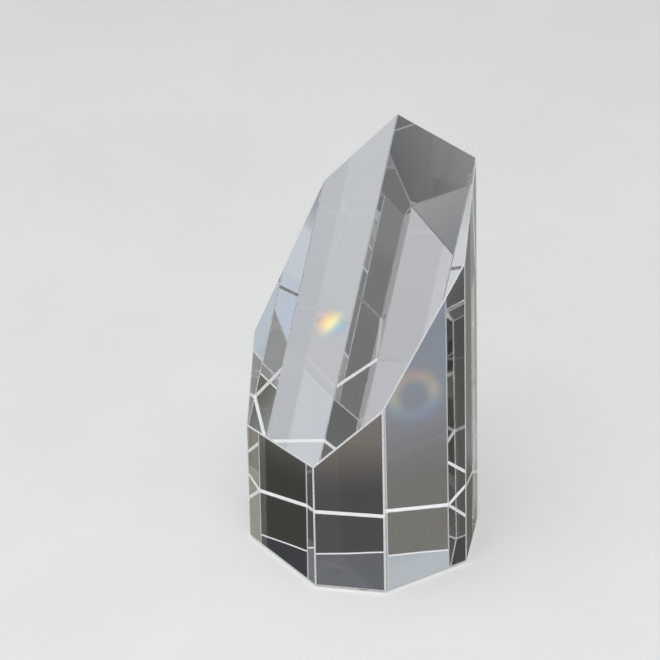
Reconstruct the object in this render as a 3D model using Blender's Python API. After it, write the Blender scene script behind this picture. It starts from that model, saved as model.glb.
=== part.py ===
"""A free-standing crystal award: one solid block of clear optical crystal with eight upright facets
and a single slanted facet across the top, on four thin clear protective dots.

Metres, +Z up. The short front facet faces -Y, the tall back facet faces +Y, and the dots touch z = 0.
"""

import math

import bmesh
import bpy
from mathutils import Vector

# The block's eight-sided plan, which is the same on both sides of the line x = 0.
DEPTH = 0.0812                    # front facet to back facet
FRONT_WIDTH = 0.0454              # front facet
BACK_WIDTH = 0.0516               # back facet
FRONT_CORNER = (0.0437, -0.0208)  # where a front corner facet meets a side facet
REAR_CORNER = (0.0470, 0.0184)    # where a side facet meets a back corner facet

# The slanted facet is one flat cut, highest at the back right corner.
HEIGHT = 0.1750                   # underside to the highest corner
RISE_TO_BACK = 1.434              # climb for each unit of depth, about 55 degrees
RISE_TO_RIGHT = 0.073             # climb for each unit of width, about 4 degrees

# Every edge is broken. Each width is measured along a facet, from the sharp corner it replaces.
ARRIS = 0.00045                   # round the facets, two narrow flats to an edge
ARRIS_SEGMENTS = 2
BASE_CHAMFER = 0.0009             # round the underside, one flat at 45 degrees

# The self-adhesive dots under the block.
DOT_DIAMETER = 0.0080
DOT_THICKNESS = 0.0005
DOT_SIDES = 48
DOT_EDGE_ROUND = 0.00012
DOT_X = 0.0335                    # from the middle line to a dot's centre
DOT_FRONT_Y = -0.0235
DOT_REAR_Y = 0.0250
GLUE_GAP = 0.0003                 # clearance between a dot and the underside

UNDERSIDE_Z = DOT_THICKNESS + GLUE_GAP


def clear_scene():
    for obj in list(bpy.data.objects):
        bpy.data.objects.remove(obj, do_unlink=True)


def principled(name, colour, roughness, transmission, ior, metallic=0.0):
    """A plain Principled material for one piece."""
    material = bpy.data.materials.new(name)
    material.use_nodes = True
    material.diffuse_color = (*colour, 1.0)
    shader = material.node_tree.nodes["Principled BSDF"]
    shader.inputs["Base Color"].default_value = (*colour, 1.0)
    shader.inputs["Roughness"].default_value = roughness
    shader.inputs["Metallic"].default_value = metallic
    shader.inputs["Transmission Weight"].default_value = transmission
    shader.inputs["IOR"].default_value = ior
    return material


def object_from(name, mesh_builder, material):
    """Links a new object whose mesh is what the builder leaves in a bmesh."""
    mesh = bpy.data.meshes.new(name)
    shape = bmesh.new()
    mesh_builder(shape)
    bmesh.ops.recalc_face_normals(shape, faces=shape.faces)
    shape.to_mesh(mesh)
    shape.free()
    mesh.materials.append(material)
    obj = bpy.data.objects.new(name, mesh)
    bpy.context.scene.collection.objects.link(obj)
    return obj


def plan_corners():
    """The plan's corners in order, anticlockwise from the front facet's left end."""
    right_side = [
        (FRONT_WIDTH / 2, -DEPTH / 2),
        FRONT_CORNER,
        REAR_CORNER,
        (BACK_WIDTH / 2, DEPTH / 2),
    ]
    left_side = [(-x, y) for x, y in reversed(right_side)]
    return right_side + left_side


def slant_height(x, y):
    """Height of the slanted facet above the underside."""
    back_right_x, back_y = BACK_WIDTH / 2, DEPTH / 2
    return HEIGHT + RISE_TO_BACK * (y - back_y) + RISE_TO_RIGHT * (x - back_right_x)


def block_shape(shape):
    """The upright facets run from the flat underside up to the slanted facet."""
    corners = plan_corners()
    low = [shape.verts.new((x, y, 0.0)) for x, y in corners]
    high = [shape.verts.new((x, y, slant_height(x, y))) for x, y in corners]
    shape.faces.new(reversed(low))
    shape.faces.new(high)
    for i in range(len(corners)):
        after = (i + 1) % len(corners)
        shape.faces.new((low[i], low[after], high[after], high[i]))
    round_facet_edges = [e for e in shape.edges if any(v in high for v in e.verts)]
    bmesh.ops.bevel(
        shape, geom=round_facet_edges, offset=ARRIS, segments=ARRIS_SEGMENTS, profile=0.5, affect="EDGES"
    )
    underside_rim = [e for e in shape.edges if all(v.co.z < ARRIS / 10 for v in e.verts)]
    bmesh.ops.bevel(shape, geom=underside_rim, offset=BASE_CHAMFER, segments=1, affect="EDGES")


def add_crystal_block():
    crystal = principled("optical_crystal", (0.97, 0.98, 0.985), 0.0, 1.0, 1.52)
    block = object_from("crystal_body", block_shape, crystal)
    block.location = Vector((0.0, 0.0, UNDERSIDE_Z))


def dot_shape(shape):
    """A thin disc with its underside at z = 0."""
    bmesh.ops.create_cone(
        shape,
        cap_ends=True,
        segments=DOT_SIDES,
        radius1=DOT_DIAMETER / 2,
        radius2=DOT_DIAMETER / 2,
        depth=DOT_THICKNESS,
    )
    bmesh.ops.translate(shape, verts=shape.verts, vec=(0.0, 0.0, DOT_THICKNESS / 2))
    bottom_rim = [e for e in shape.edges if all(v.co.z < DOT_THICKNESS / 2 for v in e.verts)]
    bmesh.ops.bevel(shape, geom=bottom_rim, offset=DOT_EDGE_ROUND, segments=2, affect="EDGES")


def add_dots():
    """Four clear dots, one under each corner region of the block."""
    polyurethane = principled("clear_polyurethane", (0.86, 0.87, 0.86), 0.35, 0.8, 1.49)
    for row, y in (("front", DOT_FRONT_Y), ("rear", DOT_REAR_Y)):
        for side, x in (("left", -DOT_X), ("right", DOT_X)):
            dot = object_from(f"dot_{row}_{side}", dot_shape, polyurethane)
            dot.location = Vector((x, y, 0.0))
            dot.data.shade_smooth()
            dot.data.set_sharp_from_angle(angle=math.radians(30.0))


clear_scene()
add_crystal_block()
add_dots()
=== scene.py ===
"""The look of the crystal award: optical glass with fine-ground arrises, on a plain pale floor.

Polished glass shows what stands round it, so its surroundings are made for it: soft grey and white cards,
near-black flags that keep the pale studio out of the darkest facets, a mirror card just under the floor's
surface, and a glowing grey card under the block, which is painted shade in place of the floor in the block's
shade. Only the glass sees these, and it sees them in place of the floor and the lamps. They are set for this
camera's view; from other angles the glass shows mostly the studio.

Sizes are in metres. Directions are a bearing and a height in degrees, seen from the award: bearing 0 is
+Y, 90 is -X, 180 is -Y and -90 is +X.
"""

import math

import bpy
from mathutils import Matrix, Vector

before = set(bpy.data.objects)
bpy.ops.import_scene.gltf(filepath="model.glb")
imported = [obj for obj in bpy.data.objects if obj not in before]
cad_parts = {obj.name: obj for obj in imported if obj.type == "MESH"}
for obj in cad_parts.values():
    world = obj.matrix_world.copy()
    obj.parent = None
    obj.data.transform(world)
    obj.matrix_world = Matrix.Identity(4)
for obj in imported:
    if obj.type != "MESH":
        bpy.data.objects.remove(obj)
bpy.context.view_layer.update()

# ---- camera ----
AIM = Vector((-0.0067, -0.0093, 0.0975))
CAMERA_DISTANCE = 2.294
CAMERA_BEARING = 54.01            # bearing that the camera looks along
CAMERA_PITCH = 32.77              # degrees looking down
CAMERA_ROLL = -1.17
CAMERA_LENS_MM = 309.5
SENSOR_WIDTH_MM = 36.0
CLIP_END = 50.0

# ---- glass ----
CRYSTAL_IOR = 1.52
CLEAN_TINT = (0.985, 0.99, 0.992)
HANDLED_TINT = (0.955, 0.965, 0.97)
POLISH_WAVES = 3.5e-6             # how far polishing leaves the facets from flat
GROUND_GRAIN = 2e-5               # depth of the ground surfaces' grain
ARRIS_CLEARNESS = 0.70            # share of the light that the ground arrises let through
CHAMFER_CLEARNESS = 0.10
SMALLEST_FACET = 5e-4             # square metres; anything smaller than this is an arris or a chamfer
CHAMFER_FACES_DOWN = (-0.8, -0.6)  # a 45 degree chamfer's normal.z lies between these

# ---- dots ----
POLYURETHANE_IOR = 1.49
DOT_GRAIN = 1e-5

# ---- stage ----
FLOOR_SIZE = 14.0
FLOOR_TINTS = ((0.76, 0.76, 0.75), (0.79, 0.79, 0.78))
HORIZON_COLOUR = (0.60, 0.615, 0.63)
OVERHEAD_COLOUR = (0.36, 0.372, 0.38)
OVERHEAD_FROM = 0.7               # Z of the direction at which the sky reaches its overhead colour
CARD_DISTANCE = 1.5               # from the award's middle to a card
MIRROR_DROP = 0.0010              # the mirror card lies this far under the floor's surface
AWARD_MIDDLE = Vector((0.0, 0.0, 0.09))
SILL_LINE = 0.0010                # width of the bright line across three of the cards
SILL_COLOUR = (0.85, 0.86, 0.88)
SILL_SOFTNESS = 0.0008            # half the depth over which the colours on its two sides meet
SPECTRUM = (                      # position across a rainbow, and the colour there
    (0.00, (1.10, 0.50, 0.42)),
    (0.25, (1.35, 0.85, 0.30)),
    (0.50, (1.35, 1.20, 0.55)),
    (0.72, (0.40, 0.75, 0.90)),
    (1.00, (0.22, 0.24, 0.75)),
)
# the under card's glow is painted shade: the floor in the block's shade, as the glass sees it through the
# underside
UNDER_CARD_TINT = (0.98, 1.0, 1.02)
UNDER_CARD_SHADE_LEVELS = (0.07, 0.27)  # its painted shade's brightness at its front right and at its back left
UNDER_CARD_SPAN = (-0.060, 0.040)  # y - x at those two ends

# ---- light paths: the facets send a ray round inside the block many times before it leaves ----
MOST_BOUNCES = 24
GLASS_BOUNCES = 20


def towards(bearing, height):
    """Unit vector that leaves the award at a bearing and a height above the floor."""
    b, h = math.radians(bearing), math.radians(height)
    return Vector((-math.sin(b) * math.cos(h), math.cos(b) * math.cos(h), math.sin(h)))


# ---- node helpers ----
def new_material(name):
    """Returns a new material and its node tree."""
    material = bpy.data.materials.new(name)
    material.use_nodes = True
    return material, material.node_tree


def node(tree, kind, **settings):
    made = tree.nodes.new(kind)
    for key, value in settings.items():
        setattr(made, key, value)
    return made


def math_node(tree, operation, first, second=None):
    """Each of first and second is a number or a socket."""
    made = node(tree, "ShaderNodeMath", operation=operation)
    for i, value in enumerate((first, second)):
        if value is None:
            continue
        if isinstance(value, (int, float)):
            made.inputs[i].default_value = value
        else:
            tree.links.new(value, made.inputs[i])
    return made.outputs[0]


def span(tree, value, low, high, out_low=0.0, out_high=1.0, smooth=True):
    """Maps low..high to out_low..out_high, clamped."""
    made = node(tree, "ShaderNodeMapRange")
    made.interpolation_type = "SMOOTHSTEP" if smooth else "LINEAR"
    tree.links.new(value, made.inputs["Value"])
    made.inputs["From Min"].default_value = low
    made.inputs["From Max"].default_value = high
    made.inputs["To Min"].default_value = out_low
    made.inputs["To Max"].default_value = out_high
    return made.outputs["Result"]


def noise(tree, coordinates, scale, detail=4.0, roughness=0.55):
    made = node(tree, "ShaderNodeTexNoise")
    made.inputs["Scale"].default_value = scale
    made.inputs["Detail"].default_value = detail
    made.inputs["Roughness"].default_value = roughness
    tree.links.new(coordinates, made.inputs["Vector"])
    return made.outputs["Fac"]


def blend(tree, share, first, second):
    """Mixes two colours, each a tuple or a socket; share 0 gives the first."""
    made = node(tree, "ShaderNodeMix", data_type="RGBA")
    tree.links.new(share, made.inputs["Factor"])
    for socket, colour in ((made.inputs[6], first), (made.inputs[7], second)):
        if isinstance(colour, tuple):
            socket.default_value = (*colour, 1.0)
        else:
            tree.links.new(colour, socket)
    return made.outputs[2]


def bump(tree, height, distance, strength=1.0):
    made = node(tree, "ShaderNodeBump")
    made.inputs["Distance"].default_value = distance
    made.inputs["Strength"].default_value = strength
    tree.links.new(height, made.inputs["Height"])
    return made.outputs["Normal"]


# ---- the award's materials ----
def crystal_material():
    """Clear optical glass with faint smudges and specks, and the slight waviness that polishing leaves."""
    material, tree = new_material("optical_crystal")
    shader = tree.nodes["Principled BSDF"]
    shader.inputs["Transmission Weight"].default_value = 1.0
    shader.inputs["IOR"].default_value = CRYSTAL_IOR
    shader.inputs["Roughness"].default_value = 0.0
    place = node(tree, "ShaderNodeTexCoord").outputs["Object"]
    smudges = span(tree, noise(tree, place, 55.0, 6.0, 0.62), 0.50, 0.72)
    specks = span(tree, noise(tree, place, 900.0, 2.0, 0.5), 0.72, 0.80)
    marks = math_node(tree, "MAXIMUM", math_node(tree, "MULTIPLY", smudges, 0.6), specks)
    tint = blend(tree, marks, CLEAN_TINT, HANDLED_TINT)
    tree.links.new(tint, shader.inputs["Base Color"])
    waves = noise(tree, place, 22.0, 2.0, 0.4)
    tree.links.new(bump(tree, waves, POLISH_WAVES), shader.inputs["Normal"])
    return material


def ground_material(name, clearness):
    """Fine-ground glass, for the arrises and the chamfer: they catch the light as thin white lines."""
    material, tree = new_material(name)
    shader = tree.nodes["Principled BSDF"]
    shader.inputs["Transmission Weight"].default_value = clearness
    shader.inputs["IOR"].default_value = CRYSTAL_IOR
    place = node(tree, "ShaderNodeTexCoord").outputs["Object"]
    grain = noise(tree, place, 2600.0, 3.0, 0.6)
    tree.links.new(span(tree, grain, 0.3, 0.7, 0.16, 0.34), shader.inputs["Roughness"])
    chips = span(tree, noise(tree, place, 700.0, 4.0, 0.65), 0.35, 0.65)
    tree.links.new(blend(tree, chips, (0.90, 0.92, 0.94), (0.98, 0.98, 0.98)), shader.inputs["Base Color"])
    tree.links.new(bump(tree, grain, GROUND_GRAIN, 0.5), shader.inputs["Normal"])
    return material


def dot_material():
    """Clear soft polyurethane, slightly cloudy with a satin skin."""
    material, tree = new_material("clear_polyurethane")
    shader = tree.nodes["Principled BSDF"]
    shader.inputs["Transmission Weight"].default_value = 0.92
    shader.inputs["IOR"].default_value = POLYURETHANE_IOR
    place = node(tree, "ShaderNodeTexCoord").outputs["Object"]
    cloud = noise(tree, place, 420.0, 5.0, 0.6)
    tree.links.new(span(tree, cloud, 0.35, 0.65, 0.10, 0.26), shader.inputs["Roughness"])
    clear = blend(tree, span(tree, cloud, 0.35, 0.7), (0.95, 0.96, 0.95), (0.86, 0.87, 0.85))
    tree.links.new(clear, shader.inputs["Base Color"])
    grain = noise(tree, place, 3000.0, 2.0, 0.5)
    tree.links.new(bump(tree, grain, DOT_GRAIN, 0.6), shader.inputs["Normal"])
    return material


def facing(polygon):
    """The way a polygon faces, rounded so that all the polygons of one facet share it."""
    return tuple(round(c, 2) for c in polygon.normal)


def dress_award():
    """The broad facets are polished; the arrises and the chamfer, known by their small area, are ground."""
    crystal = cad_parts["crystal_body"].data
    crystal.materials[0] = crystal_material()
    crystal.materials.append(ground_material("satin_arris", ARRIS_CLEARNESS))
    crystal.materials.append(ground_material("ground_chamfer", CHAMFER_CLEARNESS))
    arris_slot, chamfer_slot = 1, 2
    area = {}
    for polygon in crystal.polygons:
        area[facing(polygon)] = area.get(facing(polygon), 0.0) + polygon.area
    lowest, highest = CHAMFER_FACES_DOWN
    for polygon in crystal.polygons:
        if area[facing(polygon)] < SMALLEST_FACET:
            on_chamfer = lowest < polygon.normal.z < highest
            polygon.material_index = chamfer_slot if on_chamfer else arris_slot
    polyurethane = dot_material()
    for name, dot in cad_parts.items():
        if name.startswith("dot_"):
            dot.data.materials[0] = polyurethane


# ---- stage ----
def flat_shape(name, outline):
    """A flat n-gon in the XY plane."""
    mesh = bpy.data.meshes.new(name)
    mesh.from_pydata([(x, y, 0.0) for x, y in outline], [], [range(len(outline))])
    obj = bpy.data.objects.new(name, mesh)
    bpy.context.scene.collection.objects.link(obj)
    return obj


def plane(name, size_x, size_y):
    x, y = size_x / 2, size_y / 2
    return flat_shape(name, [(-x, -y), (x, -y), (x, y), (-x, y)])


def only_the_glass_sees(obj):
    obj.visible_camera = False
    obj.visible_diffuse = False
    obj.visible_shadow = False
    obj.visible_volume_scatter = False


def add_floor():
    """A plain pale floor, which the camera sees and the glass doesn't."""
    floor = plane("floor", FLOOR_SIZE, FLOOR_SIZE)
    material, tree = new_material("pale_floor")
    shader = tree.nodes["Principled BSDF"]
    shader.inputs["Roughness"].default_value = 0.6
    place = node(tree, "ShaderNodeTexCoord").outputs["Object"]
    mottle = span(tree, noise(tree, place, 9.0, 5.0, 0.6), 0.3, 0.7)
    tree.links.new(blend(tree, mottle, *FLOOR_TINTS), shader.inputs["Base Color"])
    floor.data.materials.append(material)
    floor.visible_glossy = False
    floor.visible_transmission = False


def add_mirror_card():
    """What the glass sees in place of the floor, so that rays that leave downwards reach the cards too."""
    card = plane("mirror_card", FLOOR_SIZE, FLOOR_SIZE)
    card.location.z = -MIRROR_DROP
    material, tree = new_material("mirror")
    shader = tree.nodes["Principled BSDF"]
    shader.inputs["Base Color"].default_value = (0.95, 0.95, 0.95, 1.0)
    shader.inputs["Metallic"].default_value = 1.0
    shader.inputs["Roughness"].default_value = 0.0
    card.data.materials.append(material)
    only_the_glass_sees(card)


def glow_material(card, name):
    """Returns the tree, the emission node and the card's own coordinates split into X and Y."""
    material, tree = new_material(name)
    material.cycles.emission_sampling = "NONE"
    tree.nodes.clear()
    parts = node(tree, "ShaderNodeSeparateXYZ")
    tree.links.new(node(tree, "ShaderNodeTexCoord").outputs["Object"], parts.inputs[0])
    glow = node(tree, "ShaderNodeEmission")
    card.data.materials.append(material)
    return tree, glow, parts.outputs["X"], parts.outputs["Y"]


def show(tree, surface):
    output = node(tree, "ShaderNodeOutputMaterial")
    tree.links.new(surface, output.inputs["Surface"])


def rainbow(tree, right, up, shade, x, y, radius, band, strength, sweep):
    """Lays a spectrum over a card's colour: a ring of the given radius, or a disc where radius is 0.

    The hue runs from red to violet over sweep metres: up the card for a ring, along it for a disc.
    """
    dx = math_node(tree, "SUBTRACT", right, x)
    dy = math_node(tree, "SUBTRACT", up, y)
    squares = math_node(
        tree, "ADD", math_node(tree, "MULTIPLY", dx, dx), math_node(tree, "MULTIPLY", dy, dy)
    )
    from_ring = math_node(tree, "SUBTRACT", math_node(tree, "SQRT", squares), radius)
    share = span(tree, math_node(tree, "ABSOLUTE", from_ring), 0.0, band, strength, 0.0)
    ramp = node(tree, "ShaderNodeValToRGB")
    stops = ramp.color_ramp.elements
    stops.remove(stops[1])
    stops[0].color = (*SPECTRUM[0][1], 1.0)
    for position, colour in SPECTRUM[1:]:
        stops.new(position).color = (*colour, 1.0)
    along = dy if radius else dx
    tree.links.new(span(tree, along, -sweep / 2, sweep / 2, smooth=False), ramp.inputs["Fac"])
    return blend(tree, share, shade, ramp.outputs["Color"])


def bright_line(tree, right, up, shade, level, slope, above):
    """A bright line across a card, with another colour above it. rise is a point's height over the line."""
    tilted = math_node(tree, "SUBTRACT", up, math_node(tree, "MULTIPLY", right, slope))
    rise = math_node(tree, "SUBTRACT", tilted, level)
    shade = blend(tree, span(tree, rise, -SILL_SOFTNESS, SILL_SOFTNESS), shade, above)
    edge = math_node(tree, "ABSOLUTE", rise)
    return blend(tree, span(tree, edge, 0.25 * SILL_LINE, 0.75 * SILL_LINE), SILL_COLOUR, shade)


def soft_card(
    name, bearing, height, half_width, half_height, colour, low=None, sill=None, spectrum=None, softness=0.25
):
    """A glowing card facing the award. Its half sizes are in degrees, and its edges fade out.

    low is another colour, which takes over downwards from the middle, and the depth in metres within which
    it does. sill is what bright_line() takes last: the line's height over the card's middle, its slope,
    and the colour above it. spectrum is what rainbow() takes last.
    """
    middle = AWARD_MIDDLE + CARD_DISTANCE * towards(bearing, height)
    half_x = CARD_DISTANCE * math.tan(math.radians(half_width))
    half_y = CARD_DISTANCE * math.tan(math.radians(half_height))
    card = plane("card_" + name, 2 * half_x, 2 * half_y)
    card.location = middle
    card.rotation_euler = (AWARD_MIDDLE - middle).to_track_quat("Z", "Y").to_euler()
    tree, glow, right, up = glow_material(card, "card_" + name)
    across = math_node(tree, "DIVIDE", math_node(tree, "ABSOLUTE", right), half_x)
    along = math_node(tree, "DIVIDE", math_node(tree, "ABSOLUTE", up), half_y)
    shown = span(tree, math_node(tree, "MAXIMUM", across, along), 1.0 - softness, 1.0, 1.0, 0.0)
    shade = colour
    if low:
        low_colour, depth = low
        shade = blend(tree, span(tree, up, -depth, 0.0), low_colour, shade)
    if sill:
        shade = bright_line(tree, right, up, shade, *sill)
    if spectrum:
        shade = rainbow(tree, right, up, shade, *spectrum)
    if shade is colour:
        glow.inputs["Color"].default_value = (*colour, 1.0)
    else:
        tree.links.new(shade, glow.inputs["Color"])
    clear = node(tree, "ShaderNodeBsdfTransparent")
    mix = node(tree, "ShaderNodeMixShader")
    tree.links.new(shown, mix.inputs[0])
    tree.links.new(clear.outputs[0], mix.inputs[1])
    tree.links.new(glow.outputs[0], mix.inputs[2])
    show(tree, mix.outputs[0])
    only_the_glass_sees(card)


def add_high_cards():
    """Over the award, seen down through the slanted facet."""
    soft_card(
        "high_back", 3, 61, 8, 9.5, (0.62, 0.635, 0.665), spectrum=(-0.013, 0.026, 0.0, 0.016, 1.0, 0.026)
    )
    soft_card("high_left", 127, 63, 4.5, 5, (0.58, 0.62, 0.68))
    soft_card("high_front", 170, 62, 5, 6, (0.58, 0.585, 0.61))
    soft_card("high_back_right", -34, 64, 4.5, 6, (0.17, 0.17, 0.165))
    soft_card("high_right", -51, 63, 4, 5.5, (0.34, 0.35, 0.34))
    soft_card("high_right_grey", -71, 63, 3.8, 5.5, (0.17, 0.175, 0.16))
    soft_card("high_right_dark", -86, 61, 3.5, 4, (0.06, 0.09, 0.10))
    soft_card("high_right_glint", -95, 65, 2.2, 1.8, (1.1, 1.1, 1.1))
    soft_card("upper_left", 97, 45.5, 3, 4, (0.125, 0.125, 0.12))
    soft_card("upper_front_left", 123, 48.5, 3, 3, (0.30, 0.30, 0.27))
    soft_card("upper_front_left_end", 131, 53, 2.5, 3, (0.20, 0.20, 0.19))
    soft_card("upper_right", -74, 51, 3, 3, (0.28, 0.29, 0.27))


def add_back_cards():
    """Behind the award, seen through the upright facets."""
    soft_card(
        "back", 15, 30.3, 6.5, 6, (0.03, 0.03, 0.028),
        low=((0.125, 0.125, 0.110), 0.05), sill=(0.043, -0.10, (0.028, 0.034, 0.042)),
    )
    soft_card("back_edge", 33.5, 32.5, 2.5, 3, (0.23, 0.22, 0.19))
    soft_card("back_edge_low", 33, 25.5, 2.5, 4, (0.36, 0.36, 0.35))
    soft_card("back_gap", 43, 31, 2, 4, (0.33, 0.36, 0.38))
    soft_card(
        "back_left", 52, 30.3, 5.5, 6, (0.070, 0.070, 0.069),
        low=((0.205, 0.178, 0.160), 0.05), sill=(0.040, -0.02, (0.125, 0.133, 0.147)),
    )
    soft_card("left_edge", 68.5, 34, 2, 3, (0.17, 0.17, 0.14))
    soft_card(
        "left", 81.5, 30.3, 5.5, 8, (0.15, 0.15, 0.143),
        low=((0.245, 0.275, 0.325), 0.075), sill=(0.0526, 0.20, (0.42, 0.47, 0.51)),
        spectrum=(-0.010, -0.064, 0.0145, 0.0080, 0.14, 0.040),
    )
    soft_card("left_warm", 94.5, 26, 2.5, 3, (0.13, 0.12, 0.10))
    soft_card("left_white", 107.5, 28, 2, 3, (0.60, 0.62, 0.65))


def add_front_cards():
    """In front and to the sides, seen by the reflections inside and outside the block."""
    soft_card("front_left_grey", 113, 31, 2.8, 5, (0.33, 0.34, 0.33))
    soft_card("front_left", 123.5, 31.5, 5, 4, (0.235, 0.225, 0.19))
    soft_card("front_left_blue", 139, 36, 2.8, 5, (0.20, 0.27, 0.35))
    soft_card("front_left_white", 147.5, 35, 3.5, 4.5, (0.63, 0.645, 0.67))
    soft_card("front", 174, 33, 2, 2.5, (0.27, 0.28, 0.27))
    soft_card("front_right", -154, 36, 4, 5, (0.35, 0.385, 0.42))
    soft_card("front_right_grey", -145.5, 31, 3.2, 6, (0.22, 0.215, 0.19))
    soft_card("right_grey", -109, 28, 3, 3, (0.13, 0.13, 0.13))
    soft_card("right_glint", -99.5, 32, 2.2, 3, (1.2, 1.2, 1.2))
    soft_card("right_gap", -73, 28, 2, 3.5, (0.33, 0.33, 0.31))
    soft_card("warm_right", -63, 29.5, 3, 6.5, (0.90, 0.78, 0.66), low=((0.50, 0.45, 0.36), 0.15))
    soft_card("back_right", -19, 31, 2, 4, (0.15, 0.15, 0.15))


def add_low_cards():
    """Near the horizon: the veil on the slanted facet, and the strips in the chamfer."""
    soft_card("veil", 130, 15, 7, 7.5, (0.36, 0.38, 0.40))
    soft_card("low_front_left", 141, 12, 3.5, 5, (0.30, 0.29, 0.25))
    soft_card("low_back_grey", 33, 14, 2.5, 3, (0.20, 0.20, 0.20))
    soft_card("low_back", 44.5, -0.3, 3.5, 4, (0.50, 0.57, 0.63), low=((0.13, 0.12, 0.095), 0.06))
    soft_card("low_left", 75, 13, 2.5, 2, (0.35, 0.36, 0.35))
    soft_card("low_right_blue", -62.5, 13.5, 2.5, 3, (0.13, 0.25, 0.45))
    soft_card("low_right", -61.5, -1, 3.5, 7, (0.34, 0.335, 0.30), low=((0.27, 0.28, 0.27), 0.05))
    soft_card("low_right_end", -53.5, 0, 3, 5, (0.16, 0.16, 0.16))
    soft_card("low_right_grey", -48.5, 17.5, 2.5, 3, (0.30, 0.30, 0.30))
    soft_card("low_front_grey", -139, 17, 2.5, 3, (0.25, 0.25, 0.25))
    soft_card("low_front", -151, -1, 3, 6, (0.32, 0.33, 0.32), low=((0.26, 0.26, 0.25), 0.05))
    soft_card("strip_back", 21, 2, 5, 5, (1.2, 1.2, 1.2))
    soft_card("strip_left", 77, 1, 6, 5, (1.2, 1.2, 1.2))


def add_flags():
    """Near-black cards, which keep the pale surroundings out of the darkest facets."""
    soft_card("flag_front", -135, 30, 4.5, 7, (0.02, 0.02, 0.025))
    soft_card("flag_front_right", -123, 30, 4, 7, (0.04, 0.042, 0.04))
    soft_card("flag_left", 100.5, 28, 4, 8, (0.012, 0.012, 0.012))
    soft_card("flag_back_right", -33.5, 30, 3.5, 8, (0.012, 0.012, 0.012))
    soft_card("flag_right", -56.5, 31, 2, 5, (0.012, 0.012, 0.012))
    soft_card("flag_low_back", 45.5, 15, 2.5, 6, (0.012, 0.012, 0.012))
    soft_card("flag_low_front", -133.5, 9.5, 3.5, 4.5, (0.012, 0.012, 0.02))
    soft_card("flag_low_back_right", -41, 14, 3, 3.5, (0.012, 0.012, 0.012))
    soft_card("flag_right_upper", -58, 41.5, 3.5, 3, (0.03, 0.06, 0.10))
    soft_card("flag_low_left", 68.5, 19, 3, 3, (0.03, 0.04, 0.05))
    soft_card("flag_high_front", -172, 61, 3, 3, (0.03, 0.03, 0.03))
    soft_card("flag_top", 160, 75, 4, 2.5, (0.05, 0.05, 0.05))


def add_under_shade_card(crystal):
    """A grey gradient just under the block, the shape of its underside and seen only through it: painted
    shade that stands in for the floor in the block's shade, darker towards the front right.
    """
    lowest = min(v.co.z for v in crystal.data.vertices)
    rim = [crystal.matrix_world @ v.co for v in crystal.data.vertices if v.co.z < lowest + 1e-5]
    rim.sort(key=lambda point: math.atan2(point.y, point.x))
    card = flat_shape("under_shade_card", [(point.x, point.y) for point in rim])
    card.location.z = -MIRROR_DROP / 2
    tree, glow, x, y = glow_material(card, "under_shade_card")
    # painted shade: the glow runs darker towards the front right, in place of the floor shaded under the
    # block
    to_back_left = math_node(tree, "SUBTRACT", y, x)
    level = span(tree, to_back_left, *UNDER_CARD_SPAN, *UNDER_CARD_SHADE_LEVELS, smooth=False)
    glow.inputs["Color"].default_value = (*UNDER_CARD_TINT, 1.0)
    tree.links.new(level, glow.inputs["Strength"])
    show(tree, glow.outputs[0])
    only_the_glass_sees(card)


# ---- light ----
def add_disc_lamp(name, size, watts, distance, bearing, height, casts_shadow=True):
    """A round lamp facing the award. It lights the floor and ground glass, and no ray sees it directly."""
    lamp = bpy.data.lights.new(name, "AREA")
    lamp.shape = "DISK"
    lamp.size = size
    lamp.energy = watts
    lamp.use_shadow = casts_shadow
    holder = bpy.data.objects.new(name, lamp)
    bpy.context.scene.collection.objects.link(holder)
    holder.location = AWARD_MIDDLE + distance * towards(bearing, height)
    holder.rotation_euler = (AWARD_MIDDLE - holder.location).to_track_quat("-Z", "Y").to_euler()
    holder.visible_camera = False
    holder.visible_glossy = False
    holder.visible_transmission = False


def add_lamps():
    """A softbox overhead, and a shadowless fill from the camera's side, which whitens the ground glass."""
    add_disc_lamp("softbox", 1.5, 10.0, 1.6, bearing=-150, height=72)
    add_disc_lamp("fill", 2.0, 210.0, 5.0, bearing=-126, height=24, casts_shadow=False)


def set_world():
    """A pale studio, brighter towards the horizon than overhead."""
    world = bpy.data.worlds.new("studio")
    world.use_nodes = True
    bpy.context.scene.world = world
    tree = world.node_tree
    background = tree.nodes["Background"]
    parts = node(tree, "ShaderNodeSeparateXYZ")
    tree.links.new(node(tree, "ShaderNodeTexCoord").outputs["Generated"], parts.inputs[0])
    overhead = span(tree, parts.outputs["Z"], 0.0, OVERHEAD_FROM)
    sky = blend(tree, overhead, HORIZON_COLOUR, OVERHEAD_COLOUR)
    tree.links.new(sky, background.inputs["Color"])


# ---- camera ----
def add_camera():
    camera_data = bpy.data.cameras.new("camera")
    camera = bpy.data.objects.new("camera", camera_data)
    bpy.context.scene.collection.objects.link(camera)
    forward = towards(CAMERA_BEARING, -CAMERA_PITCH)
    level = Vector((math.cos(math.radians(CAMERA_BEARING)), math.sin(math.radians(CAMERA_BEARING)), 0.0))
    right = Matrix.Rotation(math.radians(CAMERA_ROLL), 3, -forward) @ level
    up = right.cross(forward)
    columns = Matrix((right, up, -forward)).transposed()
    camera.matrix_world = Matrix.Translation(AIM - CAMERA_DISTANCE * forward) @ columns.to_4x4()
    camera_data.lens = CAMERA_LENS_MM
    camera_data.sensor_width = SENSOR_WIDTH_MM
    camera_data.clip_end = CLIP_END
    bpy.context.scene.camera = camera


def set_light_paths():
    cycles = bpy.context.scene.cycles
    cycles.max_bounces = MOST_BOUNCES
    cycles.glossy_bounces = GLASS_BOUNCES
    cycles.transmission_bounces = GLASS_BOUNCES
    bpy.context.scene.view_settings.view_transform = "Standard"


add_camera()
dress_award()
add_floor()
add_mirror_card()
add_under_shade_card(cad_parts["crystal_body"])
add_high_cards()
add_back_cards()
add_front_cards()
add_low_cards()
add_flags()
add_lamps()
set_world()
set_light_paths()
